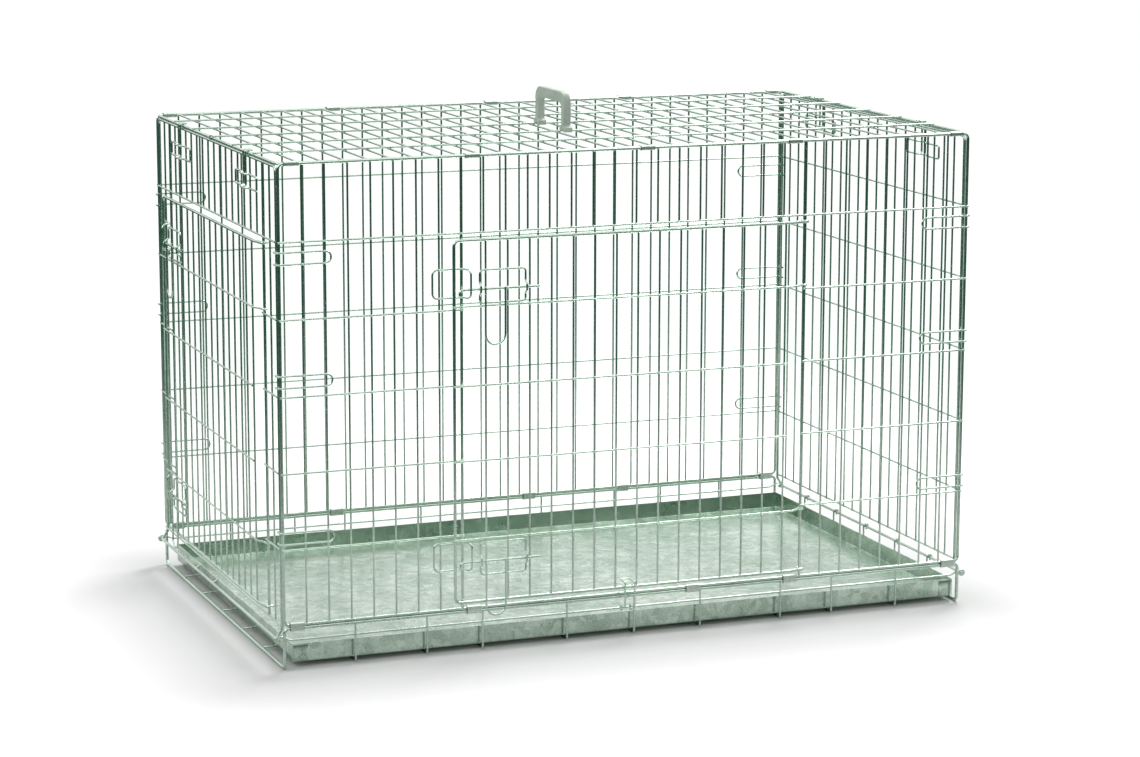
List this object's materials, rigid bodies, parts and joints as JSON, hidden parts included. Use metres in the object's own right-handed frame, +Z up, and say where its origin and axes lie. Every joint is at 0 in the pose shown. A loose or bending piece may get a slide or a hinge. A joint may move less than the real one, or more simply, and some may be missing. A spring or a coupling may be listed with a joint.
{
  "type": "folding dog cage",
  "caption": "Folding wire dog cage with side-hung doors in the front and the left end, slide-bolt latches, a pull-out sheet tray and a plastic carry handle on the roof",
  "frame": {"origin": "on the floor, under the middle of the cage's panels. The latches make the outer box reach 15 mm further at the front and 4 mm further at the left, so its middle is 8 mm and 2 mm from the origin", "axes": "+X along the cage towards the end without a door, +Y from the front with the large door to the rear, +Z up"},
  "size_m": [1.148, 0.7112, 0.811],
  "materials": {
    "zinc_wire": "bright zinc-plated drawn wire",
    "galvanised_sheet": "spangled galvanised sheet",
    "clip_steel": "zinc-plated strip, pressed flat",
    "grip_plastic": "pale grey moulded plastic"
  },
  "bodies": {
    "cage": {"base_frame": "zinc_wire", "front_panel": "zinc_wire", "rear_panel": "zinc_wire", "top_panel": "zinc_wire", "carry_handle": "grip_plastic", "saddle": "clip_steel", "clip_front_top_1": "clip_steel", "clip_front_top_2": "clip_steel", "clip_front_top_3": "clip_steel", "clip_front_top_4": "clip_steel", "clip_front_top_5": "clip_steel", "clip_front_sill_1": "clip_steel", "clip_front_sill_2": "clip_steel", "clip_front_sill_3": "clip_steel", "clip_front_sill_4": "clip_steel", "clip_front_sill_5": "clip_steel", "clip_rear_top_1": "clip_steel", "clip_rear_top_2": "clip_steel", "clip_rear_top_3": "clip_steel", "clip_rear_top_4": "clip_steel", "clip_rear_top_5": "clip_steel", "clip_rear_sill_1": "clip_steel", "clip_rear_sill_2": "clip_steel", "clip_rear_sill_3": "clip_steel", "clip_rear_sill_4": "clip_steel", "clip_rear_sill_5": "clip_steel", "front_door_upper_keeper": "zinc_wire", "front_door_lower_keeper": "zinc_wire"},
    "tray": {"tray": "galvanised_sheet"},
    "left_end": {"left_end_panel": "zinc_wire", "end_door_upper_keeper": "zinc_wire", "end_door_lower_keeper": "zinc_wire"},
    "right_end": {"right_end_panel": "zinc_wire"},
    "door_hook": {"door_hook": "zinc_wire"},
    "front_door": {"front_door": "zinc_wire", "front_door_upper_bracket": "zinc_wire", "front_door_lower_bracket": "zinc_wire"},
    "front_door_upper_bolt": {"front_door_upper_bolt": "zinc_wire"},
    "front_door_upper_handle": {"front_door_upper_handle": "zinc_wire"},
    "front_door_lower_bolt": {"front_door_lower_bolt": "zinc_wire"},
    "front_door_lower_handle": {"front_door_lower_handle": "zinc_wire"},
    "end_door": {"end_door": "zinc_wire", "end_door_upper_bracket": "zinc_wire", "end_door_lower_bracket": "zinc_wire"},
    "end_door_upper_bolt": {"end_door_upper_bolt": "zinc_wire"},
    "end_door_upper_handle": {"end_door_upper_handle": "zinc_wire"},
    "end_door_lower_bolt": {"end_door_lower_bolt": "zinc_wire"},
    "end_door_lower_handle": {"end_door_lower_handle": "zinc_wire"}
  },
  "joints": [
    {"name": "tray_slide", "type": "slide", "parent": "cage", "child": "tray", "axis": [-1, 0, 0], "range_m": [0, 0.75]},
    {"name": "left_end_fold", "type": "hinge", "parent": "cage", "child": "left_end", "pos_m": [-0.56497, 0, 0.046], "axis": [0, -1, 0], "range_deg": [-84, 0]},
    {"name": "right_end_fold", "type": "hinge", "parent": "cage", "child": "right_end", "pos_m": [0.56497, 0, 0.046], "axis": [0, 1, 0], "range_deg": [-76, 0]},
    {"name": "front_door_swing", "type": "hinge", "parent": "cage", "child": "front_door", "pos_m": [0.27769, -0.34287, 0.35], "axis": [0, 0, 1], "range_deg": [0, 140]},
    {"name": "end_door_swing", "type": "hinge", "parent": "left_end", "child": "end_door", "pos_m": [-0.55537, -0.266, 0.35], "axis": [0, 0, 1], "range_deg": [0, 140]},
    {"name": "front_door_upper_bolt_slide", "type": "slide", "parent": "front_door", "child": "front_door_upper_bolt", "axis": [1, 0, 0], "range_m": [0, 0.0265]},
    {"name": "front_door_upper_handle_swing", "type": "hinge", "parent": "front_door_upper_bolt", "child": "front_door_upper_handle", "pos_m": [-0.27769, -0.35667, 0.55197], "axis": [-1, 0, 0], "range_deg": [0, 95]},
    {"name": "front_door_lower_bolt_slide", "type": "slide", "parent": "front_door", "child": "front_door_lower_bolt", "axis": [1, 0, 0], "range_m": [0, 0.0265]},
    {"name": "front_door_lower_handle_swing", "type": "hinge", "parent": "front_door_lower_bolt", "child": "front_door_lower_handle", "pos_m": [-0.27769, -0.35667, 0.14096], "axis": [-1, 0, 0], "range_deg": [0, 95]},
    {"name": "end_door_upper_bolt_slide", "type": "slide", "parent": "end_door", "child": "end_door_upper_bolt", "axis": [0, -1, 0], "range_m": [0, 0.0265]},
    {"name": "end_door_upper_handle_swing", "type": "hinge", "parent": "end_door_upper_bolt", "child": "end_door_upper_handle", "pos_m": [-0.56917, 0.266, 0.55197], "axis": [0, 1, 0], "range_deg": [0, 95]},
    {"name": "end_door_lower_bolt_slide", "type": "slide", "parent": "end_door", "child": "end_door_lower_bolt", "axis": [0, -1, 0], "range_m": [0, 0.0265]},
    {"name": "end_door_lower_handle_swing", "type": "hinge", "parent": "end_door_lower_bolt", "child": "end_door_lower_handle", "pos_m": [-0.56917, 0.266, 0.14096], "axis": [0, 1, 0], "range_deg": [0, 95]},
    {"name": "door_hook_swing", "type": "hinge", "parent": "cage", "child": "door_hook", "pos_m": [0, -0.33971, 0.044], "axis": [1, 0, 0], "range_deg": [0, 110]}
  ]
}
